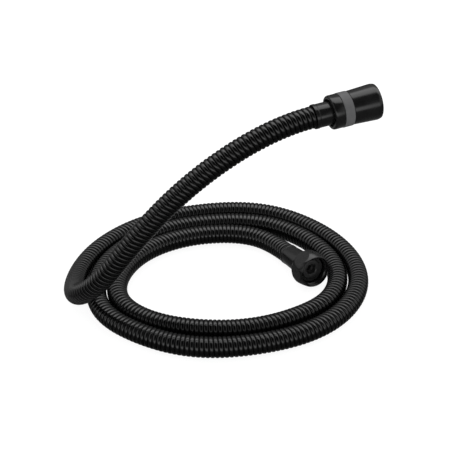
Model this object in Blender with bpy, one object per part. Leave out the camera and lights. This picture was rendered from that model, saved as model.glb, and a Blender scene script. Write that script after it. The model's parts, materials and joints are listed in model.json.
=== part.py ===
"""Shower hose, 1.5 m: ribbed metal hose lying in two turns with one end risen, a hexagonal
union nut on the low end and a swivelling conical nut on the raised end."""
import math

import bmesh
import bpy
import numpy as np
from mathutils import Matrix, Vector

MM = 0.001

# Hose route, centre line in mm: hexagonal end, two turns on the floor, then up to the conical end.
ROUTE = [
    (50.3, 21.9, 8.4), (29.6, 44.3, 7.1), (-2.5, 49.7, 7.1), (-36.5, 39, 7), (-54.9, 23.3, 7),
    (-66.4, 1.8, 7), (-69.1, -16, 7), (-65.1, -33.5, 7), (-48.1, -51.5, 7), (-14, -63, 7),
    (22, -62, 7), (55, -48.5, 7), (73.2, -33, 7), (83.2, -5, 7), (76.6, 23.7, 7),
    (58.3, 47.8, 7), (33, 62.6, 7), (-3, 64.7, 7), (-37.5, 55, 7), (-61.8, 37.3, 7),
    (-75.4, 17.9, 7), (-82.3, -2.6, 7), (-82.5, -25.9, 7), (-75.2, -44.9, 7), (-53.4, -65.4, 7),
    (-15, -80.7, 7), (27, -77.8, 7), (65, -61.8, 7), (86.8, -39, 7), (97.5, -7, 7),
    (90.5, 27.9, 7), (69.7, 57, 7), (34, 79, 7), (-14, 78.6, 7), (-57.8, 59.7, 7.2),
    (-90.1, 20.6, 7.5), (-97.6, -19.9, 11.5), (-89.5, -49, 25), (-77, -59.5, 40.5), (-58, -62, 66),
    (-28, -55, 99.5), (-1.5, -48.5, 121), (30.5, -40, 138.5), (58.5, -30, 145),
]
HEX_YAW, HEX_RISE = -61.0, 9.5       # direction the hexagonal end points, degrees
CONE_YAW, CONE_RISE = 20.0, 5.0      # direction the conical end points, degrees

# Hose
HOSE_R = 7.0            # 14 mm outside diameter
HOSE_BORE_R = 5.95
LINER_R = 5.4
LINER_BORE_R = 4.5
LINER_TUCK = 11.4       # length of inner tube inside each ferrule
HOSE_SIDES = 10
LINER_SIDES = 8
RING_TURN = math.radians(13)
RING_STEP = 24.0
SAMPLES = 40            # curve samples between two route points

# Turned parts, as closed outlines of (distance along the axis from the hose end, radius) in mm
FERRULE_BORE = [(12.2, 4.85), (12.2, 5.75), (0.3, 5.75)]
HEX_FERRULE = [(0.3, 6.9), (0.7, 7.2), (3.0, 7.2), (20.9, 8.1), (21.2, 7.8),
               (21.2, 4.85)] + FERRULE_BORE
CONE_FERRULE = [(0.3, 7.2), (0.7, 7.5), (14.4, 7.5), (14.7, 7.2), (14.7, 4.85)] + FERRULE_BORE
BARBS = [(-3.0, 2.7), (-3.0, 3.35), (-0.6, 3.85), (-0.5, 3.5), (2.0, 3.85), (2.1, 3.5),
         (4.6, 3.85), (4.7, 3.5), (11.7, 3.5), (11.7, 4.5)]
HEX_TAIL = BARBS + [(21.5, 4.5), (21.5, 7.2), (26.1, 7.2), (26.1, 8.9), (28.1, 8.9),
                    (28.1, 6.9), (30.4, 6.9), (30.7, 6.6), (30.7, 3.6), (26.6, 3.6),
                    (25.7, 2.7)]
HEX_WASHER = [(28.4, 7.2), (28.4, 9.05), (30.2, 9.05), (30.2, 7.2)]
HEX_AF_HALF = 11.6      # 23.2 mm across the flats
HEX_NUT = [(22.0, 7.9), (22.0, 10.4), (22.8, 11.55), (24.2, 12.35), (26.2, 12.85),
           (28.4, 13.0), (30.5, 12.85), (32.3, 12.35), (33.7, 11.8), (34.9, 11.2),
           (35.5, 10.9), (35.5, 9.9), (35.0, 9.4), (25.8, 9.4), (25.8, 7.9)]

CONE_TAIL = BARBS + [(15.0, 4.5), (15.0, 7.35), (17.2, 7.35), (17.2, 5.6), (20.0, 5.6),
                     (20.0, 4.5), (21.6, 4.5), (21.6, 5.6), (24.0, 5.6), (24.0, 4.5),
                     (25.6, 4.5), (25.6, 5.6), (30.2, 5.6), (30.2, 4.9), (31.8, 4.9),
                     (31.8, 5.6), (33.1, 5.6), (33.4, 5.3), (33.4, 2.7)]
O_RING_AT = (20.8, 24.8)
O_RING_R, O_RING_WIRE = 5.17, 0.42
SEAT_BUSH = [(17.5, 5.9), (17.5, 7.9), (32.0, 7.9), (32.0, 9.05), (34.2, 9.05), (34.2, 7.1),
             (29.0, 7.1), (29.0, 5.9)]
SLIP_WASHER = [(29.3, 5.92), (29.3, 6.75), (30.0, 6.75), (30.0, 5.92)]
CLIP_AT, CLIP_THICK = 30.5, 1.0
CLIP_IN, CLIP_OUT, CLIP_GAP = 5.22, 6.75, math.radians(50)
CONE_WASHER = [(34.5, 5.5), (34.5, 9.05), (36.5, 9.05), (36.5, 5.5)]
REAR_COLLAR = [(11.2, 8.7), (11.2, 9.9), (11.5, 10.5), (12.1, 10.75), (17.5, 10.75), (17.5, 9.0),
               (29.9, 9.0), (29.9, 8.2), (13.4, 8.2), (13.4, 8.7)]
SWIVEL_RING = [(17.8, 9.35), (17.8, 10.7), (18.0, 10.95), (23.7, 10.95), (23.9, 10.7),
               (23.9, 9.35)]
CONE_NUT = [(24.2, 9.35), (24.2, 10.4), (24.5, 10.6), (41.1, 11.45), (42.1, 11.2), (42.6, 10.7),
            (42.7, 10.4), (42.7, 9.9), (42.2, 9.4), (31.7, 9.4), (31.7, 8.2), (30.2, 8.2),
            (30.2, 9.35)]
SIDES_BIG, SIDES_MID, SIDES_SMALL = 36, 24, 20

SHARP = math.radians(35)

# name: (colour, metallic, roughness)
FINISH = {
    "black_coat": ((0.020, 0.020, 0.021, 1), 0.6, 0.42),
    "grey_satin": ((0.16, 0.16, 0.165, 1), 0.2, 0.45),
    "plated": ((0.12, 0.12, 0.12, 1), 0.9, 0.38),
    "raw_brass": ((0.55, 0.42, 0.20, 1), 1.0, 0.35),
    "steel": ((0.50, 0.50, 0.51, 1), 1.0, 0.30),
    "rubber": ((0.015, 0.015, 0.015, 1), 0.0, 0.65),
    "liner": ((0.05, 0.05, 0.055, 1), 0.0, 0.50),
    "nylon": ((0.75, 0.75, 0.72, 1), 0.0, 0.45),
}


def clear_scene():
    for obj in list(bpy.data.objects):
        bpy.data.objects.remove(obj, do_unlink=True)


def direction(yaw, rise):
    yaw, rise = math.radians(yaw), math.radians(rise)
    return np.array([math.cos(rise) * math.cos(yaw), math.cos(rise) * math.sin(yaw),
                     math.sin(rise)])


def axis_frame(point, axis):
    """Frame at a hose end: Z along the fitting, X level, Y uppermost."""
    z = Vector(axis).normalized()
    x = Vector((0, 0, 1)).cross(z).normalized()
    y = z.cross(x)
    turn = Matrix((x, y, z)).transposed().to_4x4()
    return Matrix.Translation(Vector(point) * MM) @ turn


def smooth_route(points, start_dir, end_dir):
    """Cubic curve through the route points, leaving each end along its fitting."""
    p = np.array(points, dtype=float)
    gap = np.linalg.norm(np.diff(p, axis=0), axis=1)
    n = len(p)
    a = np.zeros((n, n))
    b = np.zeros((n, 3))
    a[0, 0] = a[-1, -1] = 1.0
    b[0], b[-1] = start_dir, end_dir
    for i in range(1, n - 1):
        a[i, i - 1] = gap[i]
        a[i, i] = 2 * (gap[i] + gap[i - 1])
        a[i, i + 1] = gap[i - 1]
        b[i] = 3 * (gap[i] * (p[i] - p[i - 1]) / gap[i - 1]
                    + gap[i - 1] * (p[i + 1] - p[i]) / gap[i])
    slope = np.linalg.solve(a, b)
    out = []
    for i in range(n - 1):
        for t in np.linspace(0, 1, SAMPLES, endpoint=False):
            out.append((2 * t**3 - 3 * t**2 + 1) * p[i] + (t**3 - 2 * t**2 + t) * gap[i] * slope[i]
                       + (3 * t**2 - 2 * t**3) * p[i + 1]
                       + (t**3 - t**2) * gap[i] * slope[i + 1])
    out.append(p[-1])
    return np.array(out)


def ring_stations(curve):
    """Pick centre points along the curve, closer together where it bends."""
    step = np.diff(curve, axis=0)
    length = np.linalg.norm(step, axis=1)
    tangent = step / length[:, None]
    turn = np.arccos(np.clip((tangent[1:] * tangent[:-1]).sum(axis=1), -1, 1))
    spent = np.maximum(length[1:] / RING_STEP, turn / RING_TURN)
    total = np.concatenate([[0, 0], np.cumsum(spent)])
    count = int(math.ceil(total[-1]))
    wanted = np.linspace(0, total[-1], count + 1)
    centres = np.stack([np.interp(wanted, total, curve[:, k]) for k in range(3)], axis=1)
    ways = np.gradient(curve, axis=0)
    ways = np.stack([np.interp(wanted, total, ways[:, k]) for k in range(3)], axis=1)
    return centres, ways / np.linalg.norm(ways, axis=1)[:, None]


def ring_points(centre, way, radius, sides):
    side = np.cross((0, 0, 1), way)
    side /= np.linalg.norm(side)
    up = np.cross(way, side)
    angle = np.arange(sides) * 2 * math.pi / sides - math.pi / 2
    return centre + radius * (np.cos(angle)[:, None] * side + np.sin(angle)[:, None] * up)


def add_object(name, verts, faces, finish, frame=None, sharp=True):
    mesh = bpy.data.meshes.new(name)
    mesh.from_pydata([tuple(v) for v in verts], [], faces)
    work = bmesh.new()
    work.from_mesh(mesh)
    bmesh.ops.recalc_face_normals(work, faces=work.faces)
    work.to_mesh(mesh)
    work.free()
    mesh.polygons.foreach_set("use_smooth", [True] * len(mesh.polygons))
    if sharp:
        mesh.set_sharp_from_angle(angle=SHARP)
    mesh.materials.append(make_material(name, finish))
    obj = bpy.data.objects.new(name, mesh)
    bpy.context.scene.collection.objects.link(obj)
    if frame is not None:
        obj.matrix_world = frame
    return obj


def make_material(name, finish):
    colour, metallic, roughness = FINISH[finish]
    mat = bpy.data.materials.new(name)
    mat.use_nodes = True
    shader = mat.node_tree.nodes["Principled BSDF"]
    shader.inputs["Base Color"].default_value = colour
    shader.inputs["Metallic"].default_value = metallic
    shader.inputs["Roughness"].default_value = roughness
    mat.diffuse_color = colour
    return mat


def hollow_hose(name, centres, ways, outer_r, inner_r, sides, finish):
    """Open-ended tube: outer wall, inner wall and a flat ring face at each end."""
    verts, faces = [], []
    for radius in (outer_r, inner_r):
        for centre, way in zip(centres, ways):
            verts.extend(ring_points(centre, way, radius, sides) * MM)
    count = len(centres)
    inner = count * sides
    for i in range(count - 1):
        for j in range(sides):
            k = (j + 1) % sides
            a, b = i * sides, (i + 1) * sides
            faces.append((a + j, a + k, b + k, b + j))
            faces.append((inner + a + j, inner + b + j, inner + b + k, inner + a + k))
    for j in range(sides):
        k = (j + 1) % sides
        last = (count - 1) * sides
        faces.append((j, inner + j, inner + k, k))
        faces.append((last + j, last + k, inner + last + k, inner + last + j))
    return add_object(name, verts, faces, finish)


def turned(name, outline, frame, sides, finish, flat_half=None):
    """Revolve a closed outline about Z; flat_half cuts six flats at that distance."""
    verts, faces = [], []
    for along, radius in outline:
        for j in range(sides):
            angle = 2 * math.pi * j / sides
            r = radius
            if flat_half:
                off = (angle + math.pi / 6) % (math.pi / 3) - math.pi / 6
                r = min(r, flat_half / math.cos(off))
            verts.append((r * math.cos(angle) * MM, r * math.sin(angle) * MM, along * MM))
    rows = len(outline)
    for i in range(rows):
        a, b = i * sides, ((i + 1) % rows) * sides
        for j in range(sides):
            k = (j + 1) % sides
            faces.append((a + j, a + k, b + k, b + j))
    return add_object(name, verts, faces, finish, frame)


def o_ring(name, along, frame, finish):
    outline = []
    for i in range(6):
        angle = math.pi / 3 * i
        outline.append((along + O_RING_WIRE * math.sin(angle),
                        O_RING_R + O_RING_WIRE * math.cos(angle)))
    return turned(name, outline, frame, SIDES_SMALL, finish)


def open_clip(name, frame, finish):
    """Flat retaining ring with a gap at the bottom."""
    steps = 18
    corners = [(CLIP_AT, CLIP_IN), (CLIP_AT, CLIP_OUT), (CLIP_AT + CLIP_THICK, CLIP_OUT),
               (CLIP_AT + CLIP_THICK, CLIP_IN)]
    verts, faces = [], []
    for i in range(steps + 1):
        angle = -math.pi / 2 + CLIP_GAP / 2 + (2 * math.pi - CLIP_GAP) * i / steps
        for along, radius in corners:
            verts.append((radius * math.cos(angle) * MM, radius * math.sin(angle) * MM,
                          along * MM))
    for i in range(steps):
        for j in range(4):
            k = (j + 1) % 4
            faces.append((4 * i + j, 4 * i + k, 4 * i + 4 + k, 4 * i + 4 + j))
    faces.append((0, 1, 2, 3))
    faces.append((4 * steps + 3, 4 * steps + 2, 4 * steps + 1, 4 * steps))
    return add_object(name, verts, faces, finish, frame)


def build_hose(hex_axis, cone_axis):
    curve = smooth_route(ROUTE, -hex_axis, cone_axis)
    centres, ways = ring_stations(curve)
    hollow_hose("outer_hose", centres, ways, HOSE_R, HOSE_BORE_R, HOSE_SIDES, "black_coat")
    tucked = np.vstack([centres[0] + hex_axis * LINER_TUCK, centres,
                        centres[-1] + cone_axis * LINER_TUCK])
    tucked_ways = np.vstack([-hex_axis, ways, cone_axis])
    hollow_hose("liner_tube", tucked, tucked_ways, LINER_R, LINER_BORE_R, LINER_SIDES, "liner")


def build_hex_end(frame):
    turned("hex_ferrule", HEX_FERRULE, frame, SIDES_MID, "black_coat")
    turned("hex_tail", HEX_TAIL, frame, SIDES_SMALL, "plated")
    turned("hex_washer", HEX_WASHER, frame, SIDES_MID, "rubber")
    turned("hex_nut", HEX_NUT, frame, SIDES_BIG, "black_coat", flat_half=HEX_AF_HALF)


def build_cone_end(frame):
    turned("cone_ferrule", CONE_FERRULE, frame, SIDES_MID, "black_coat")
    turned("cone_tail", CONE_TAIL, frame, SIDES_SMALL, "plated")
    for name, along in zip(("o_ring_rear", "o_ring_front"), O_RING_AT):
        o_ring(name, along, frame, "rubber")
    open_clip("retaining_clip", frame, "steel")
    turned("seat_bush", SEAT_BUSH, frame, SIDES_MID, "raw_brass")
    turned("slip_washer", SLIP_WASHER, frame, SIDES_MID, "nylon")
    turned("cone_washer", CONE_WASHER, frame, SIDES_MID, "rubber")
    turned("rear_collar", REAR_COLLAR, frame, SIDES_BIG, "black_coat")
    turned("swivel_ring", SWIVEL_RING, frame, SIDES_BIG, "grey_satin")
    turned("cone_nut", CONE_NUT, frame, SIDES_BIG, "black_coat")


def main():
    clear_scene()
    hex_axis = direction(HEX_YAW, HEX_RISE)
    cone_axis = direction(CONE_YAW, CONE_RISE)
    build_hose(hex_axis, cone_axis)
    build_hex_end(axis_frame(ROUTE[0], hex_axis))
    build_cone_end(axis_frame(ROUTE[-1], cone_axis))


main()
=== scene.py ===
"""Looks for the shower hose: a wound, interlocked metal hose with a hexagonal union nut on
its low end and a swivelling conical nut on its raised end."""
import json
import math

import bmesh
import bpy
import numpy as np
from mathutils import Matrix, Vector

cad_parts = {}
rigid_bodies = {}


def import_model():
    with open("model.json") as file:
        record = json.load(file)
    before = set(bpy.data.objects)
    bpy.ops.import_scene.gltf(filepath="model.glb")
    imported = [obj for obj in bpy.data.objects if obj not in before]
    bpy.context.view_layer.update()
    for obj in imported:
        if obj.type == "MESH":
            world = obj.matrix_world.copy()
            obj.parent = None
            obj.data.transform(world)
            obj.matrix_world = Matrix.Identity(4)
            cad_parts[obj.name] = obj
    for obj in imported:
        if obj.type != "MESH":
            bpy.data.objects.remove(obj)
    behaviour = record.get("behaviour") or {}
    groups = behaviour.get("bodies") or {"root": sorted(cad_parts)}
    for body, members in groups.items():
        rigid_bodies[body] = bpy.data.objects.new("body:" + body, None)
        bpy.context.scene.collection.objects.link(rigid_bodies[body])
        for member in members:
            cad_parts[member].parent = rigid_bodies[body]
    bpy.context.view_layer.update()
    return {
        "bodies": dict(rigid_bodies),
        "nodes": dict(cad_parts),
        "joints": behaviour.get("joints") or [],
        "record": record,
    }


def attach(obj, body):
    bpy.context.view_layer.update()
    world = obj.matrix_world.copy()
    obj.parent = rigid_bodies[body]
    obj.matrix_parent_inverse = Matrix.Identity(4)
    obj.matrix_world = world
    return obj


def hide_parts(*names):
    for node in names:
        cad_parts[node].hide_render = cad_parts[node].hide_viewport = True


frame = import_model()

MM = 0.001
TURN = 2 * math.pi

# Hose route, centre line in mm, the same points as the CAD
ROUTE = [
    (50.3, 21.9, 8.4), (29.6, 44.3, 7.1), (-2.5, 49.7, 7.1), (-36.5, 39, 7), (-54.9, 23.3, 7),
    (-66.4, 1.8, 7), (-69.1, -16, 7), (-65.1, -33.5, 7), (-48.1, -51.5, 7), (-14, -63, 7),
    (22, -62, 7), (55, -48.5, 7), (73.2, -33, 7), (83.2, -5, 7), (76.6, 23.7, 7),
    (58.3, 47.8, 7), (33, 62.6, 7), (-3, 64.7, 7), (-37.5, 55, 7), (-61.8, 37.3, 7),
    (-75.4, 17.9, 7), (-82.3, -2.6, 7), (-82.5, -25.9, 7), (-75.2, -44.9, 7), (-53.4, -65.4, 7),
    (-15, -80.7, 7), (27, -77.8, 7), (65, -61.8, 7), (86.8, -39, 7), (97.5, -7, 7),
    (90.5, 27.9, 7), (69.7, 57, 7), (34, 79, 7), (-14, 78.6, 7), (-57.8, 59.7, 7.2),
    (-90.1, 20.6, 7.5), (-97.6, -19.9, 11.5), (-89.5, -49, 25), (-77, -59.5, 40.5), (-58, -62, 66),
    (-28, -55, 99.5), (-1.5, -48.5, 121), (30.5, -40, 138.5), (58.5, -30, 145),
]
HEX_YAW, HEX_RISE = -61.0, 9.5
CONE_YAW, CONE_RISE = 20.0, 5.0
SAMPLES = 40            # curve samples between two route points

# Wound strip
HOSE_D = 14.0
PITCH = 2.97
STRIP_STEPS = 26
LOCK_STEPS = 20
STRIP_TUCK = 3.2        # length of strip held inside each ferrule
# (offset along the hose, radius) round the strip's section
CREST = [(-1.24, 6.3), (-1.2, 6.62), (-0.86, 6.89), (-0.34, 7.0), (0.34, 7.0), (0.86, 6.89),
         (1.2, 6.62), (1.24, 6.3)]
LOCK = [(-0.85, 5.75), (-0.8, 6.4), (0.0, 6.5), (0.8, 6.4), (0.85, 5.75)]
LINER_R, LINER_BORE_R, LINER_TUCK, LINER_SIDES = 5.4, 4.5, 11.4, 20
LINER_STATIONS = 260

# Camera
CAM_AT = Vector((0.005, -0.6439, 0.4638))
CAM_TO = Vector((0.005, 0.073, 0.0))
CAM_LENS, CAM_SENSOR = 90.2, 36.0

# Studio shell, metres
STUDIO_R = 5.0
COVE_R = 1.0            # radius of the curve from the floor to the wall
COVE_FLAT = 0.25        # radius of the middle of the floor
FLOOR_DROP = 0.0002     # floor below the lowest point of the hose
STUDIO_SIDES = 96
FLOOR_GLOW, WALL_GLOW = 0.92, 1.0
GLOW_FROM, GLOW_TO = 0.25, 0.9      # distance over which the one turns into the other
WORLD_LEVEL = 0.9

# Surround that only the gloss of the metal sees
SURROUND_R = 8.0
SURROUND_GLOW = 2.5
SURROUND_COLS, SURROUND_ROWS = 64, 32
SIDE_FROM, SIDE_TO = 0.5, 0.85      # share of the radius, sideways, where the sides take over
# (degrees up and over from the front floor to the back floor, level)
ARCH = [(-180, 0.03), (-140, 0.12), (-100, 0.05), (-60, 0.02), (-40, 0.03), (-8, 0.05), (4, 0.8),
        (16, 0.8), (29, 0.04), (50, 0.005), (86, 0.005), (94, 1.1), (124, 1.3), (138, 0.2),
        (165, 0.07), (180, 0.03)]
# (height from bottom to top as a share, level)
SIDES = [(0.0, 0.02), (0.47, 0.04), (0.55, 0.28), (0.75, 0.42), (0.88, 0.38), (0.96, 0.02)]

# Key light
KEY_AT, KEY_SIZE, KEY_POWER = (-0.3, 0.7, 1.1), 1.2, 5.0

# Pipe thread G 1/2, in mm
THREAD_PITCH = 25.4 / 14
THREAD_STEPS = 64
THREAD_FADE = 0.4       # turns over which each end of the ridge grows
THREAD_ROOT_R, THREAD_CREST_R = 10.5, 9.35
CONE_THREAD_ROOT_R = 10.45
# (offset along the axis, height as a share) across the ridge
THREAD_RIDGE = [(-0.72, 0.0), (-0.2, 0.9), (0.0, 1.0), (0.2, 0.9), (0.72, 0.0)]

# Retaining clip, in mm and degrees
CLIP_AT, CLIP_THICK, CLIP_IN, CLIP_OUT, CLIP_GAP = 30.5, 1.0, 5.22, 6.55, 56
CLIP_STEPS = 72
CLIP_EDGE = 0.12
CLIP_LUG = 0.2          # how far the lug at each tip stands out
CLIP_MEAN_R = 6

# Black coats
COAT_GRAIN = 0.05       # strength of the orange peel

# O-rings, in mm
RING_WIRE_R, RING_MEAN_R, RING_SIDES = 0.42, 5.17, 16
RING_REAR_AT, RING_FRONT_AT = 20.8, 24.8


# Turned pieces: (distance along the axis, radius, size of the corner's rounding), in mm
SLEEVE_BORE = [(12.2, 4.85, 0.1), (12.2, 5.75, 0.1), (3.6, 5.75, 0.1), (3.6, 7.05, 0.05)]
HEX_SLEEVE = [(0.3, 7.1, 0.05), (0.3, 7.35, 0.2), (2.3, 7.38, 0.2), (2.6, 7.16, 0.1),
              (3.0, 7.2, 0.1), (21.2, 8.1, 0.4), (21.2, 4.85, 0.1)] + SLEEVE_BORE
CONE_SLEEVE = [(0.3, 7.12, 0.1), (0.3, 7.7, 0.3), (2.5, 7.75, 0.3), (2.8, 7.45, 0.12),
               (3.2, 7.5, 0.12), (14.7, 7.5, 0.4), (14.7, 4.85, 0.1)] + SLEEVE_BORE
BARBS = [(-3.0, 2.7, 0.1), (-3.0, 3.35, 0.1), (-0.6, 3.85, 0.06), (-0.5, 3.5, 0.06),
         (2.0, 3.85, 0.06), (2.1, 3.5, 0.06), (4.6, 3.85, 0.06), (4.7, 3.5, 0.06),
         (11.7, 3.5, 0.1), (11.7, 4.5, 0.1)]
HEX_TAIL = BARBS + [(21.5, 4.5, 0.1), (21.5, 7.2, 0.2), (26.1, 7.2, 0.1), (26.1, 8.9, 0.15),
                    (28.1, 8.9, 0.15), (28.1, 6.9, 0.1), (30.7, 6.9, 0.4), (30.7, 4.3, 0.2),
                    (30.1, 3.6, 0.15), (26.6, 3.6, 0.1), (25.7, 2.7, 0.1)]
HEX_WASHER = [(28.4, 7.2, 0.15), (28.4, 9.05, 0.35), (30.2, 9.05, 0.45), (30.2, 7.2, 0.35)]
HEX_AF_HALF = 11.6      # from the axis to each of the six flats
HEX_FLATS, HEX_EDGE = 6, 0.12
HEX_NUT = [(22.0, 7.9, 0.2), (22.0, 10.4, 0.25), (22.8, 11.55, 0.6), (24.2, 12.35, 0.7),
           (26.2, 12.85, 0.9), (28.4, 13.0, 0.9), (30.5, 12.85, 0.9), (32.3, 12.35, 0.8),
           (33.7, 11.8, 0.6), (34.9, 11.25, 0.4), (35.5, 10.95, 0.15), (35.5, 10.7, 0.1),
           (35.2, 10.45, 0.1), (25.8, 10.45, 0.2), (25.8, 7.9, 0.2)]
CONE_TAIL = BARBS + [(15.0, 4.5, 0.1), (15.0, 7.35, 0.2), (17.2, 7.35, 0.15), (17.2, 5.6, 0.1),
                     (20.0, 5.6, 0.08), (20.0, 4.5, 0.1), (21.6, 4.5, 0.1), (21.6, 5.6, 0.08),
                     (24.0, 5.6, 0.08), (24.0, 4.5, 0.1), (25.6, 4.5, 0.1), (25.6, 5.6, 0.08),
                     (30.2, 5.6, 0.08), (30.2, 4.9, 0.06), (31.8, 4.9, 0.06), (31.8, 5.6, 0.08),
                     (33.4, 5.6, 0.3), (33.4, 2.7, 0.25)]
SEAT_BUSH = [(17.5, 5.9), (17.5, 7.9), (32.0, 7.9, 0.1), (32.0, 9.05), (34.2, 9.05),
             (34.2, 7.1), (29.0, 7.1, 0.1), (29.0, 5.9, 0.1)]
SLIP_WASHER = [(29.3, 5.92, 0.1), (29.3, 6.75, 0.15), (30.0, 6.75, 0.15), (30.0, 5.92, 0.1)]
CONE_WASHER = [(34.5, 5.5, 0.4), (34.5, 9.05, 0.4), (36.5, 9.05, 0.5), (36.5, 5.5, 0.5)]
REAR_COLLAR = [(11.2, 8.7, 0.2), (11.2, 9.9, 0.3), (11.5, 10.5, 0.4), (12.3, 10.75, 0.5),
               (17.5, 10.75, 0.2), (17.5, 9.0, 0.1), (29.9, 9.0, 0.15), (29.9, 8.2, 0.15),
               (13.4, 8.2, 0.15), (13.4, 8.7, 0.15)]
SWIVEL_RING = [(17.8, 9.35, 0.15), (17.8, 10.95, 0.3), (23.9, 10.95, 0.3), (23.9, 9.35, 0.15)]
CONE_NUT = [(24.2, 9.35, 0.15), (24.2, 10.6, 0.2), (40.9, 11.45, 1.2), (42.7, 11.0, 0.5),
            (42.7, 10.7, 0.1), (42.4, 10.45, 0.1), (32.4, 10.35, 0.15), (32.4, 8.2, 0.2),
            (30.2, 8.2, 0.1), (30.2, 9.35, 0.1)]


# ---------------------------------------------------------------- frames and curves
def direction(yaw, rise):
    yaw, rise = math.radians(yaw), math.radians(rise)
    return np.array([math.cos(rise) * math.cos(yaw), math.cos(rise) * math.sin(yaw),
                     math.sin(rise)])


def axis_frame(point, axis):
    """Frame at a hose end: Z along the fitting, X level, Y uppermost."""
    z = Vector(axis).normalized()
    x = Vector((0, 0, 1)).cross(z).normalized()
    y = z.cross(x)
    turn = Matrix((x, y, z)).transposed().to_4x4()
    return Matrix.Translation(Vector(point) * MM) @ turn


def smooth_route(points, start_dir, end_dir):
    """Cubic curve through the route points, leaving each end along its fitting."""
    p = np.array(points, dtype=float)
    gap = np.linalg.norm(np.diff(p, axis=0), axis=1)
    n = len(p)
    a = np.zeros((n, n))
    b = np.zeros((n, 3))
    a[0, 0] = a[-1, -1] = 1.0
    b[0], b[-1] = start_dir, end_dir
    for i in range(1, n - 1):
        a[i, i - 1] = gap[i]
        a[i, i] = 2 * (gap[i] + gap[i - 1])
        a[i, i + 1] = gap[i - 1]
        b[i] = 3 * (gap[i] * (p[i] - p[i - 1]) / gap[i - 1]
                    + gap[i - 1] * (p[i + 1] - p[i]) / gap[i])
    slope = np.linalg.solve(a, b)
    out = []
    for i in range(n - 1):
        for t in np.linspace(0, 1, SAMPLES, endpoint=False):
            out.append((2 * t**3 - 3 * t**2 + 1) * p[i] + (t**3 - 2 * t**2 + t) * gap[i] * slope[i]
                       + (3 * t**2 - 2 * t**3) * p[i + 1]
                       + (t**3 - t**2) * gap[i] * slope[i + 1])
    out.append(p[-1])
    return np.array(out)


class Line:
    """The hose's centre line with a frame that doesn't twist, looked up by length along it."""

    def __init__(self, curve, start_dir, end_dir, extra):
        lead = [curve[0] - start_dir * d for d in np.linspace(extra, 1.0, int(extra))]
        tail = [curve[-1] + end_dir * d for d in np.linspace(1.0, extra, int(extra))]
        self.points = np.vstack([lead, curve, tail])
        step = np.linalg.norm(np.diff(self.points, axis=0), axis=1)
        self.s = np.concatenate([[0], np.cumsum(step)]) - extra
        way = np.stack([np.gradient(self.points[:, k], self.s) for k in range(3)], axis=1)
        self.way = way / np.linalg.norm(way, axis=1)[:, None]
        bend = np.stack([np.gradient(self.way[:, k], self.s) for k in range(3)], axis=1)
        kernel = np.ones(9) / 9
        self.bend = np.stack([np.convolve(np.pad(bend[:, k], 4, mode="edge"), kernel, "valid")
                              for k in range(3)], axis=1)
        side = np.cross((0, 0, 1), self.way[0])
        sides = [side / np.linalg.norm(side)]
        for k in range(1, len(self.way)):
            side = sides[-1] - self.way[k] * np.dot(sides[-1], self.way[k])
            sides.append(side / np.linalg.norm(side))
        self.side = np.array(sides)
        self.length = self.s[-1] - extra

    def pick(self, table, s):
        return np.stack([np.interp(s, self.s, table[:, k]) for k in range(3)], axis=-1)

    def outward(self, s, angle):
        way, side = self.pick(self.way, s), self.pick(self.side, s)
        up = np.cross(way, side)
        return np.cos(angle)[..., None] * side + np.sin(angle)[..., None] * up

    def surface(self, s, angle, shift, radius):
        """Points on the hose at station s; shift is measured on the metal itself, so that a
        strip keeps its width on the inside and the outside of a bend."""
        out = self.outward(s, angle)
        stretch = 1 - radius * (self.pick(self.bend, s) * out).sum(axis=-1)
        there = s + shift / stretch
        return self.pick(self.points, there) + radius[..., None] * self.outward(there, angle)


# ---------------------------------------------------------------- meshes
def new_object(name, verts, faces, material, frame=None, sharp=35.0):
    mesh = bpy.data.meshes.new(name)
    mesh.from_pydata(np.asarray(verts, dtype=float).reshape(-1, 3).tolist(), [],
                     np.asarray(faces).tolist() if isinstance(faces, np.ndarray) else faces)
    mesh.polygons.foreach_set("use_smooth", [True] * len(mesh.polygons))
    if sharp:
        mesh.set_sharp_from_angle(angle=math.radians(sharp))
    mesh.materials.append(material)
    obj = bpy.data.objects.new(name, mesh)
    bpy.context.scene.collection.objects.link(obj)
    if frame is not None:
        obj.matrix_world = frame
    return obj


def grid_faces(rows, cols, close_rows=False, close_cols=True):
    """Quads over a rows by cols grid of vertices."""
    i = np.arange(rows if close_rows else rows - 1)
    j = np.arange(cols if close_cols else cols - 1)
    i, j = (a.ravel() for a in np.meshgrid(i, j, indexing="ij"))
    i2, j2 = (i + 1) % rows, (j + 1) % cols
    return np.stack([i * cols + j, i * cols + j2, i2 * cols + j2, i2 * cols + j], axis=1)


def capped_faces(count, cols):
    """Faces of a closed section swept over count steps, with a cap at each end."""
    faces = grid_faces(count + 1, cols).tolist()
    faces.append(list(range(cols)))
    faces.append([count * cols + j for j in reversed(range(cols))])
    return faces


def wound_strip(name, line, section, steps, lead, material):
    """A closed section wound round the hose from end to end; lead shifts it along the hose."""
    start, stop = -STRIP_TUCK + lead, line.length + STRIP_TUCK - PITCH + lead
    count = int((stop - start) / PITCH * steps)
    u = np.arange(count + 1) / steps
    s = (start + u * PITCH)[:, None]
    angle = (u * TURN)[:, None]
    shift = np.array([p[0] for p in section])[None, :]
    radius = np.array([p[1] for p in section])[None, :]
    s, angle, shift, radius = np.broadcast_arrays(s, angle, shift, radius)
    verts = line.surface(s, angle, shift, radius)
    cols = len(section)
    return new_object(name, verts * MM, capped_faces(count, cols), material, sharp=60.0)


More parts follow.
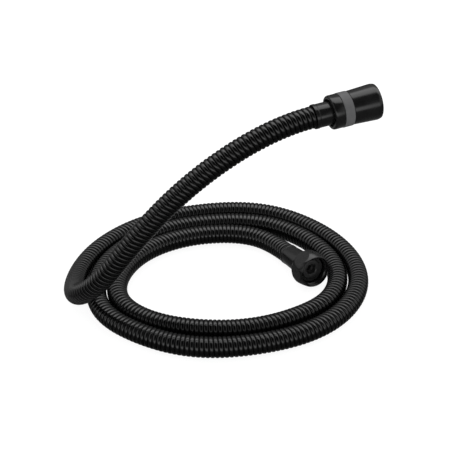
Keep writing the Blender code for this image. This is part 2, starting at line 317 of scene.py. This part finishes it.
def liner(name, line, material):
    """Inner tube from tail to tail, open at both ends."""
    stations = np.linspace(-LINER_TUCK, line.length + LINER_TUCK, LINER_STATIONS)
    angle = np.arange(LINER_SIDES) * TURN / LINER_SIDES
    rings = []
    for radius in (LINER_R, LINER_BORE_R):
        s, a = np.meshgrid(stations, angle, indexing="ij")
        rings.append(line.surface(s, a, np.zeros_like(s), np.full_like(s, radius)))
    rows = len(stations)
    verts = np.concatenate([rings[0], rings[1][::-1]])
    return new_object(name, verts * MM, grid_faces(2 * rows, LINER_SIDES, close_rows=True),
                      material)


def rounded(outline, radius=0.25, steps=3):
    """A closed outline with each corner rounded, by at most radius."""
    points = [Vector(p[:2]) for p in outline]
    sizes = [p[2] if len(p) > 2 else radius for p in outline]
    out = []
    n = len(points)
    for i, here in enumerate(points):
        back, ahead = points[i - 1] - here, points[(i + 1) % n] - here
        reach = min(sizes[i], 0.45 * back.length, 0.45 * ahead.length)
        if reach < 0.01 or back.angle(ahead) > math.radians(172):
            out.append(here)
            continue
        a, b = here + back.normalized() * reach, here + ahead.normalized() * reach
        for k in range(steps + 1):
            t = k / steps
            out.append((1 - t) ** 2 * a + 2 * t * (1 - t) * here + t * t * b)
    return out


def lathe(name, outline, frame, material, sides=96, radius=0.25, steps=3):
    """A turned piece: a closed outline of (distance along the axis, radius), in mm."""
    points = rounded(outline, radius, steps)
    angle = np.arange(sides) * TURN / sides
    along = np.array([p[0] for p in points])[:, None]
    r = np.array([p[1] for p in points])[:, None]
    verts = np.stack(np.broadcast_arrays(r * np.cos(angle), r * np.sin(angle), along), axis=-1)
    return new_object(name, verts * MM, grid_faces(len(points), sides, close_rows=True), material,
                      frame)


def cut_flats(obj, half, count, edge):
    """Cuts count flats round the axis, at the given distance, and eases their edges."""
    bm = bmesh.new()
    bm.from_mesh(obj.data)
    marked = []
    for k in range(count):
        a = TURN * k / count
        way = Vector((math.cos(a), math.sin(a), 0))
        cut = bmesh.ops.bisect_plane(bm, geom=bm.verts[:] + bm.edges[:] + bm.faces[:],
                                     plane_co=way * half * MM, plane_no=way, clear_outer=True)
        rim = [e for e in cut["geom_cut"] if isinstance(e, bmesh.types.BMEdge)]
        made = bmesh.ops.edgeloop_fill(bm, edges=rim)["faces"]
        for f in made:
            f.smooth = True
        marked += made
    rims = {e for f in marked if f.is_valid for e in f.edges}
    bmesh.ops.bevel(bm, geom=list(rims), offset=edge * MM, segments=2, profile=0.5,
                    affect="EDGES", clamp_overlap=True)
    bmesh.ops.recalc_face_normals(bm, faces=bm.faces[:])
    for f in bm.faces:
        f.smooth = True
    for e in bm.edges:
        e.smooth = True
    bm.to_mesh(obj.data)
    bm.free()
    keep = obj.modifiers.new("even_normals", "WEIGHTED_NORMAL")
    keep.keep_sharp = True
    keep.weight = 80


def thread(name, start, stop, root, frame, material):
    """Internal right-hand pipe thread: a ridge that stands in from the nut's wall."""
    turns = (stop - start) / THREAD_PITCH
    count = int(turns * THREAD_STEPS)
    verts = []
    for i in range(count + 1):
        u = i / count
        grow = min(1.0, u * turns / THREAD_FADE, (1 - u) * turns / THREAD_FADE)
        a = u * turns * TURN
        for x, h in THREAD_RIDGE:
            r = root - (root - THREAD_CREST_R) * h * grow
            z = start + u * turns * THREAD_PITCH + x * (0.3 + 0.7 * grow)
            verts.append((r * math.cos(a), r * math.sin(a), z))
    cols = len(THREAD_RIDGE)
    return new_object(name, np.array(verts) * MM, capped_faces(count, cols), material, frame,
                      sharp=50.0)


def spring_clip(name, frame, material):
    """Flat retaining ring with a gap and a rounded lug at each tip."""
    gap = math.radians(CLIP_GAP)
    mid, half = (CLIP_IN + CLIP_OUT) / 2, (CLIP_OUT - CLIP_IN) / 2
    back, front, e = CLIP_AT, CLIP_AT + CLIP_THICK, CLIP_EDGE
    verts = []
    for i in range(CLIP_STEPS + 1):
        t = i / CLIP_STEPS
        a = -math.pi / 2 + gap / 2 + (TURN - gap) * t
        tip = min(t, 1 - t) * (TURN - gap) * CLIP_MEAN_R
        lug = CLIP_LUG * math.exp(-((tip - 0.8) / 0.8) ** 2) if tip < 4 else 0.0
        close = math.sqrt(max(0.15, 1 - (1 - min(1, tip / 0.7)) ** 2))
        low, top = mid - half * close, mid + (half + lug) * close
        section = [(back + e, low), (back, low + e), (back, top - e), (back + e, top),
                   (front - e, top), (front, top - e), (front, low + e), (front - e, low)]
        verts += [(r * math.cos(a), r * math.sin(a), z) for z, r in section]
    return new_object(name, np.array(verts) * MM, capped_faces(CLIP_STEPS, len(section)),
                      material, frame)


def o_ring(name, along, frame, material):
    """A round rubber ring at this place on the axis."""
    wire = [(along + RING_WIRE_R * math.sin(a), RING_MEAN_R + RING_WIRE_R * math.cos(a), 0)
            for a in np.arange(RING_SIDES) * TURN / RING_SIDES]
    return lathe(name, wire, frame, material)


# ---------------------------------------------------------------- materials
class Nodes:
    """A small helper for building a node material."""

    def __init__(self, name):
        self.mat = bpy.data.materials.new(name)
        self.mat.use_nodes = True
        self.tree = self.mat.node_tree
        self.shader = self.tree.nodes["Principled BSDF"]
        self.coords = self.add("ShaderNodeTexCoord")

    def add(self, kind, **values):
        node = self.tree.nodes.new(kind)
        for key, value in values.items():
            setattr(node, key, value)
        return node

    def link(self, a, b):
        self.tree.links.new(a, b)

    def noise(self, scale, detail=3.0, rough=0.5, stretch=None):
        node = self.add("ShaderNodeTexNoise")
        node.inputs["Scale"].default_value = scale
        node.inputs["Detail"].default_value = detail
        node.inputs["Roughness"].default_value = rough
        if stretch:
            mapping = self.add("ShaderNodeMapping")
            mapping.inputs["Scale"].default_value = stretch
            self.link(self.coords.outputs["Object"], mapping.inputs["Vector"])
            self.link(mapping.outputs["Vector"], node.inputs["Vector"])
        else:
            self.link(self.coords.outputs["Object"], node.inputs["Vector"])
        return node.outputs["Fac"]

    def spread(self, value, low, high, start=0.0, stop=1.0):
        node = self.add("ShaderNodeMapRange")
        node.inputs["From Min"].default_value = start
        node.inputs["From Max"].default_value = stop
        node.inputs["To Min"].default_value = low
        node.inputs["To Max"].default_value = high
        self.link(value, node.inputs["Value"])
        return node.outputs["Result"]

    def tint(self, value, dark, light):
        node = self.add("ShaderNodeMix", data_type="RGBA")
        node.inputs["A"].default_value = (*dark, 1)
        node.inputs["B"].default_value = (*light, 1)
        self.link(value, node.inputs["Factor"])
        return node.outputs["Result"]

    def ramp(self, value, stops):
        """Greys by position along value, each stop a (position, level)."""
        node = self.add("ShaderNodeValToRGB")
        band = node.color_ramp
        while len(band.elements) > 1:
            band.elements.remove(band.elements[-1])
        band.elements[0].position = stops[0][0]
        band.elements[0].color = (*(stops[0][1],) * 3, 1)
        for at, level in stops[1:]:
            band.elements.new(at).color = (*(level,) * 3, 1)
        self.link(value, node.inputs["Fac"])
        return node.outputs["Color"]

    def bump(self, height, strength, distance):
        node = self.add("ShaderNodeBump")
        node.inputs["Strength"].default_value = strength
        node.inputs["Distance"].default_value = distance
        self.link(height, node.inputs["Height"])
        if self.shader.inputs["Normal"].is_linked:
            self.link(self.shader.inputs["Normal"].links[0].from_socket, node.inputs["Normal"])
        self.link(node.outputs["Normal"], self.shader.inputs["Normal"])

    def set(self, **values):
        for key, value in values.items():
            self.shader.inputs[key.replace("_", " ")].default_value = value


def coat_material(name, shade, rough, specular):
    """Black electro-coated metal: faint orange peel, uneven gloss and a few polished spots."""
    n = Nodes(name)
    patches = n.noise(90.0, 3.0, 0.55)
    fine = n.noise(1600.0, 2.0, 0.5)
    n.link(n.tint(n.spread(patches, 0, 1, 0.3, 0.7), (shade * 0.8,) * 3, (shade * 1.25,) * 3),
           n.shader.inputs["Base Color"])
    mixed = n.add("ShaderNodeMath", operation="ADD")
    n.link(n.spread(patches, -0.04, 0.04, 0.3, 0.7), mixed.inputs[0])
    n.link(n.spread(fine, rough - 0.03, rough + 0.03, 0.3, 0.7), mixed.inputs[1])
    n.link(mixed.outputs["Value"], n.shader.inputs["Roughness"])
    n.bump(n.noise(700.0, 2.0, 0.5), COAT_GRAIN, 0.00005)
    n.bump(fine, COAT_GRAIN, 0.00002)
    n.set(Specular_IOR_Level=specular, Metallic=0.0)
    return n.mat


def strip_material():
    """Black coated steel strip, finely drawn along its length; the grooves between its turns show
    the lock strip, which carries painted shade.
    """
    n = Nodes("hose_black")
    patches = n.noise(60.0, 3.0, 0.6)
    fine = n.noise(2400.0, 2.0, 0.6)
    n.link(n.tint(n.spread(patches, 0, 1, 0.3, 0.7), (0.001, 0.001, 0.0011),
                  (0.0022, 0.0022, 0.0022)), n.shader.inputs["Base Color"])
    n.link(n.spread(patches, 0.13, 0.2, 0.3, 0.7), n.shader.inputs["Roughness"])
    n.bump(fine, 0.06, 0.00002)
    n.set(Specular_IOR_Level=0.4, Metallic=0.0)
    return n.mat


def plain_material(name, dark, light, rough, metallic=0.0, scale=300.0, grain=0.1,
                   stretch=None, specular=0.5):
    n = Nodes(name)
    patches = n.noise(scale, 4.0, 0.55, stretch)
    n.link(n.tint(n.spread(patches, 0, 1, 0.3, 0.7), dark, light), n.shader.inputs["Base Color"])
    n.link(n.spread(patches, rough - 0.05, rough + 0.05, 0.3, 0.7), n.shader.inputs["Roughness"])
    n.bump(n.noise(scale * 6, 2.0, 0.5, stretch), grain, 0.00004)
    n.set(Metallic=metallic, Specular_IOR_Level=specular)
    return n.mat


# ---------------------------------------------------------------- stage
def add_camera():
    data = bpy.data.cameras.new("camera")
    data.lens, data.sensor_width = CAM_LENS, CAM_SENSOR
    data.clip_start, data.clip_end = 0.01, 30.0
    cam = bpy.data.objects.new("camera", data)
    cam.location = CAM_AT
    cam.rotation_euler = (CAM_TO - CAM_AT).to_track_quat("-Z", "Y").to_euler()
    bpy.context.scene.collection.objects.link(cam)
    bpy.context.scene.camera = cam


def area_light(name, at, to, size, power):
    data = bpy.data.lights.new(name, "AREA")
    data.energy = power
    data.size = size
    obj = bpy.data.objects.new(name, data)
    obj.location = at
    obj.rotation_euler = (Vector(to) - Vector(at)).to_track_quat("-Z", "Y").to_euler()
    obj.visible_camera = False
    obj.visible_glossy = False
    bpy.context.scene.collection.objects.link(obj)


def quiet(obj, *kinds):
    """Hides a stage piece from these kinds of ray."""
    for kind in kinds:
        setattr(obj, "visible_" + kind, False)


def add_studio():
    """Pale floor that curves up into a pale wall and ceiling all round."""
    cove = [(0.0, 0.0)]
    cove += [(r, 0.0) for r in np.linspace(COVE_FLAT, STUDIO_R - COVE_R, 12)]
    cove += [(STUDIO_R - COVE_R + COVE_R * math.sin(a), COVE_R - COVE_R * math.cos(a))
             for a in np.linspace(0.1, math.pi / 2, 10)]
    cove += [(STUDIO_R, 3.0), (STUDIO_R - 0.6, 4.2), (0.0, 4.6)]
    angle = np.arange(STUDIO_SIDES) * TURN / STUDIO_SIDES
    r, z = (np.array([p[k] for p in cove])[:, None] for k in (0, 1))
    verts = np.stack(np.broadcast_arrays(r * np.cos(angle), r * np.sin(angle), z - FLOOR_DROP),
                     axis=-1)
    n = Nodes("studio_white")
    tone = n.noise(3.0, 2.0, 0.5)
    n.link(n.tint(tone, (0.15, 0.15, 0.15), (0.17, 0.17, 0.17)), n.shader.inputs["Base Color"])
    reach = n.add("ShaderNodeVectorMath", operation="LENGTH")
    n.link(n.coords.outputs["Object"], reach.inputs[0])
    n.link(n.spread(reach.outputs["Value"], FLOOR_GLOW, WALL_GLOW, GLOW_FROM, GLOW_TO),
           n.shader.inputs["Emission Strength"])
    n.set(Roughness=0.9, Specular_IOR_Level=0.1, Emission_Color=(1, 1, 1, 1))
    quiet(new_object("studio", verts, grid_faces(len(cove), STUDIO_SIDES), n.mat, sharp=0),
          "glossy", "diffuse", "shadow")


def add_surround():
    """The studio as the gloss of the metal sees it: a wide softbox high at the back, a lower
    card in front, grey sides and a dark gap overhead."""
    cols, rows = SURROUND_COLS, SURROUND_ROWS
    tilt = np.linspace(0.01, math.pi - 0.01, rows)[:, None]
    turn = (np.arange(cols) * TURN / cols)[None, :]
    verts = np.stack(np.broadcast_arrays(np.sin(tilt) * np.cos(turn), np.sin(tilt) * np.sin(turn),
                                         np.cos(tilt)), axis=-1) * SURROUND_R
    n = Nodes("surround_grey")
    split = n.add("ShaderNodeSeparateXYZ")
    n.link(n.coords.outputs["Object"], split.inputs[0])
    over = n.add("ShaderNodeMath", operation="ARCTAN2")
    ahead = n.add("ShaderNodeMath", operation="MULTIPLY")
    ahead.inputs[1].default_value = -1.0
    n.link(split.outputs["Y"], ahead.inputs[0])
    n.link(split.outputs["Z"], over.inputs[0])
    n.link(ahead.outputs[0], over.inputs[1])
    arch = n.ramp(n.spread(over.outputs[0], 0, 1, -math.pi, math.pi),
                  [((degrees + 180) / 360, level) for degrees, level in ARCH])
    wall = n.ramp(n.spread(split.outputs["Z"], 0, 1, -SURROUND_R, SURROUND_R), SIDES)
    apart = n.add("ShaderNodeMath", operation="ABSOLUTE")
    n.link(split.outputs["X"], apart.inputs[0])
    mix = n.add("ShaderNodeMix", data_type="RGBA")
    n.link(n.spread(apart.outputs[0], 0, 1, SIDE_FROM * SURROUND_R, SIDE_TO * SURROUND_R),
           mix.inputs["Factor"])
    n.link(arch, mix.inputs["A"])
    n.link(wall, mix.inputs["B"])
    n.link(mix.outputs["Result"], n.shader.inputs["Emission Color"])
    n.set(Base_Color=(0, 0, 0, 1), Roughness=1.0, Specular_IOR_Level=0.0,
          Emission_Strength=SURROUND_GLOW)
    quiet(new_object("surround", verts, grid_faces(rows, cols), n.mat, sharp=0),
          "camera", "diffuse", "shadow")


def add_lights():
    scene = bpy.context.scene
    scene.view_settings.view_transform = "Standard"
    scene.view_settings.look = "None"
    world = bpy.data.worlds.new("studio")
    world.use_nodes = True
    back = world.node_tree.nodes["Background"]
    back.inputs["Color"].default_value = (1, 1, 1, 1)
    back.inputs["Strength"].default_value = WORLD_LEVEL
    scene.world = world
    world.cycles_visibility.glossy = False
    area_light("key_back", KEY_AT, (0, 0, 0), KEY_SIZE, KEY_POWER)


# ---------------------------------------------------------------- pieces
def build_hose(line, mats):
    crest = wound_strip("hose_strip", line, CREST, STRIP_STEPS, 0.0, mats["strip"])
    lock = wound_strip("hose_lock", line, LOCK, LOCK_STEPS, PITCH / 2, mats["lock"])
    inner = liner("liner", line, mats["liner"])
    for piece, where in ((crest, "black_coat"), (lock, "black_coat"), (inner, "liner")):
        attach(piece, "hose")
    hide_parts("outer_hose")
    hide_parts("liner_tube")
    return crest, lock, inner


def place(obj, body, slot, *nodes):
    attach(obj, body)
    if nodes:
        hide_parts(*nodes)
    return obj


def build_hex_end(frame, mats):
    place(lathe("hex_sleeve", HEX_SLEEVE, frame, mats["coat"]), "hose", "black_coat", "hex_ferrule")
    place(lathe("hex_stem", HEX_TAIL, frame, mats["plate"], radius=0.1), "hose", "plated",
          "hex_tail")
    place(lathe("hex_seal", HEX_WASHER, frame, mats["rubber"]), "hose", "rubber", "hex_washer")
    nut = lathe("hex_union", HEX_NUT, frame, mats["coat"], sides=144)
    cut_flats(nut, HEX_AF_HALF, HEX_FLATS, HEX_EDGE)
    place(nut, "hex_union", "black_coat", "hex_nut")
    place(thread("hex_union_thread", 31.2, 34.7, THREAD_ROOT_R, frame, mats["coat"]),
          "hex_union", "black_coat")


def build_cone_end(frame, mats):
    made = [
        place(lathe("cone_sleeve", CONE_SLEEVE, frame, mats["coat"]), "hose", "black_coat",
              "cone_ferrule"),
        place(lathe("cone_stem", CONE_TAIL, frame, mats["plate"], radius=0.1), "hose",
              "plated", "cone_tail"),
        place(spring_clip("spring_clip", frame, mats["steel"]), "hose", "steel",
              "retaining_clip"),
        place(lathe("seat", SEAT_BUSH, frame, mats["brass"]), "swivel_seat", "raw_brass",
              "seat_bush"),
        place(lathe("slip_ring", SLIP_WASHER, frame, mats["nylon"]), "swivel_seat", "nylon",
              "slip_washer"),
        place(lathe("cone_seal", CONE_WASHER, frame, mats["rubber"]), "swivel_seat", "rubber",
              "cone_washer"),
        place(lathe("collar", REAR_COLLAR, frame, mats["coat"], sides=128), "cone_union",
              "black_coat", "rear_collar"),
        place(lathe("grey_ring", SWIVEL_RING, frame, mats["grey"], sides=128), "cone_union",
              "grey_satin", "swivel_ring"),
        place(lathe("cone_union", CONE_NUT, frame, mats["coat"], sides=128, steps=5),
              "cone_union", "black_coat", "cone_nut"),
        place(thread("cone_union_thread", 37.2, 41.9, CONE_THREAD_ROOT_R, frame, mats["coat"]),
              "cone_union", "black_coat"),
        place(o_ring("seal_ring_rear", RING_REAR_AT, frame, mats["rubber"]), "hose", "rubber",
              "o_ring_rear"),
        place(o_ring("seal_ring_front", RING_FRONT_AT, frame, mats["rubber"]), "hose", "rubber",
              "o_ring_front"),
    ]
    return made


def make_materials():
    return {
        "strip": strip_material(),
        # Painted shade: the lock strip deep in the grooves is the same black coated steel, but gets
        # the darkest black and almost no reflection so that the grooves read dark.
        "lock": coat_material("lock_painted_shade", 0.001, 0.5, 0.05),
        "coat": coat_material("coat_black", 0.007, 0.17, 0.36),
        "grey": plain_material("ring_grey", (0.098, 0.098, 0.1), (0.115, 0.115, 0.117), 0.5,
                               specular=0.15),
        "plate": plain_material("stem_plate", (0.035, 0.035, 0.035), (0.055, 0.055, 0.055),
                                0.42, 0.6),
        "brass": plain_material("seat_brass", (0.42, 0.31, 0.14), (0.52, 0.40, 0.19), 0.3, 1.0,
                                stretch=(1, 1, 8)),
        "steel": plain_material("clip_steel", (0.42, 0.42, 0.42), (0.52, 0.52, 0.52), 0.3, 1.0),
        "rubber": plain_material("seal_rubber", (0.012, 0.012, 0.012), (0.02, 0.02, 0.02), 0.6,
                                 specular=0.3),
        "liner": plain_material("liner_grey", (0.01, 0.01, 0.011), (0.018, 0.018, 0.019), 0.6,
                                specular=0.2),
        "nylon": plain_material("slip_nylon", (0.62, 0.62, 0.58), (0.7, 0.7, 0.66), 0.45),
    }


def main():
    add_camera()
    hex_axis, cone_axis = direction(HEX_YAW, HEX_RISE), direction(CONE_YAW, CONE_RISE)
    line = Line(smooth_route(ROUTE, -hex_axis, cone_axis), -hex_axis, cone_axis, HOSE_D)
    mats = make_materials()
    crest, lock, inner = build_hose(line, mats)
    build_hex_end(axis_frame(ROUTE[0], hex_axis), mats)
    made = build_cone_end(axis_frame(ROUTE[-1], cone_axis), mats)
    add_surround()
    add_studio()
    add_lights()


main()
